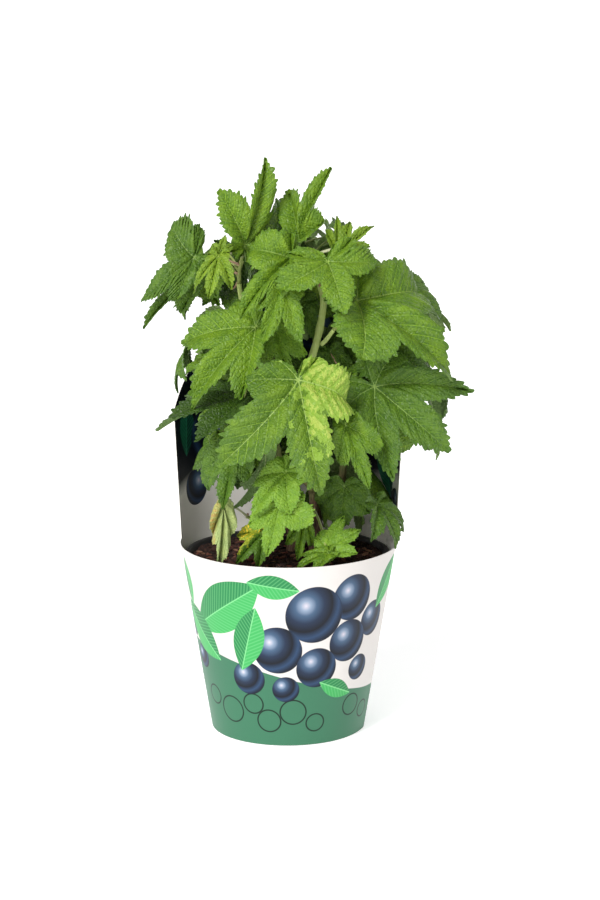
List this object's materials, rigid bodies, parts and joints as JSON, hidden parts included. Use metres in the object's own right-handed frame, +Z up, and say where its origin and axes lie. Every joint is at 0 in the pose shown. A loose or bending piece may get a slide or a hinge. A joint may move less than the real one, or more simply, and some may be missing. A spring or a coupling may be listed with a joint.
{
  "type": "potted currant bush",
  "caption": "Young blackcurrant bush with lobed leaves, in a round nursery pot inside a flared card sleeve with an arched back panel.",
  "frame": {"origin": "middle of the pot's flat underside, on the floor", "axes": "+Z up along the pot's axis; -Y is the open front of the sleeve; the arched panel stands at +Y"},
  "size_m": [0.2653, 0.2148, 0.471],
  "materials": {
    "leaves": "matt green leaf",
    "wood": "smooth green to brown bark",
    "pot": "matt black",
    "soil": "rough dark bark compost",
    "sleeve": "satin printed card"
  },
  "bodies": {
    "root": {"bough_left": "wood", "bough_low_left": "wood", "bough_low_middle": "wood", "bough_low_right": "wood", "bough_lower_left": "wood", "bough_right": "wood", "cane_back": "wood", "cane_centre": "wood", "cane_left": "wood", "cane_right": "wood", "leaves_back_left": "leaves", "leaves_back_low": "leaves", "leaves_back_right": "leaves", "leaves_back_top": "leaves", "leaves_centre": "leaves", "leaves_left": "leaves", "leaves_low_left": "leaves", "leaves_low_middle": "leaves", "leaves_low_right": "leaves", "leaves_lower_left": "leaves", "leaves_right_high": "leaves", "leaves_right_low": "leaves", "leaves_rim": "leaves", "leaves_side_left": "leaves", "leaves_side_right": "leaves", "leaves_top": "leaves", "leaves_top_left": "leaves", "pot": "pot", "sleeve": "sleeve", "soil": "soil"}
  },
  "joints": []
}
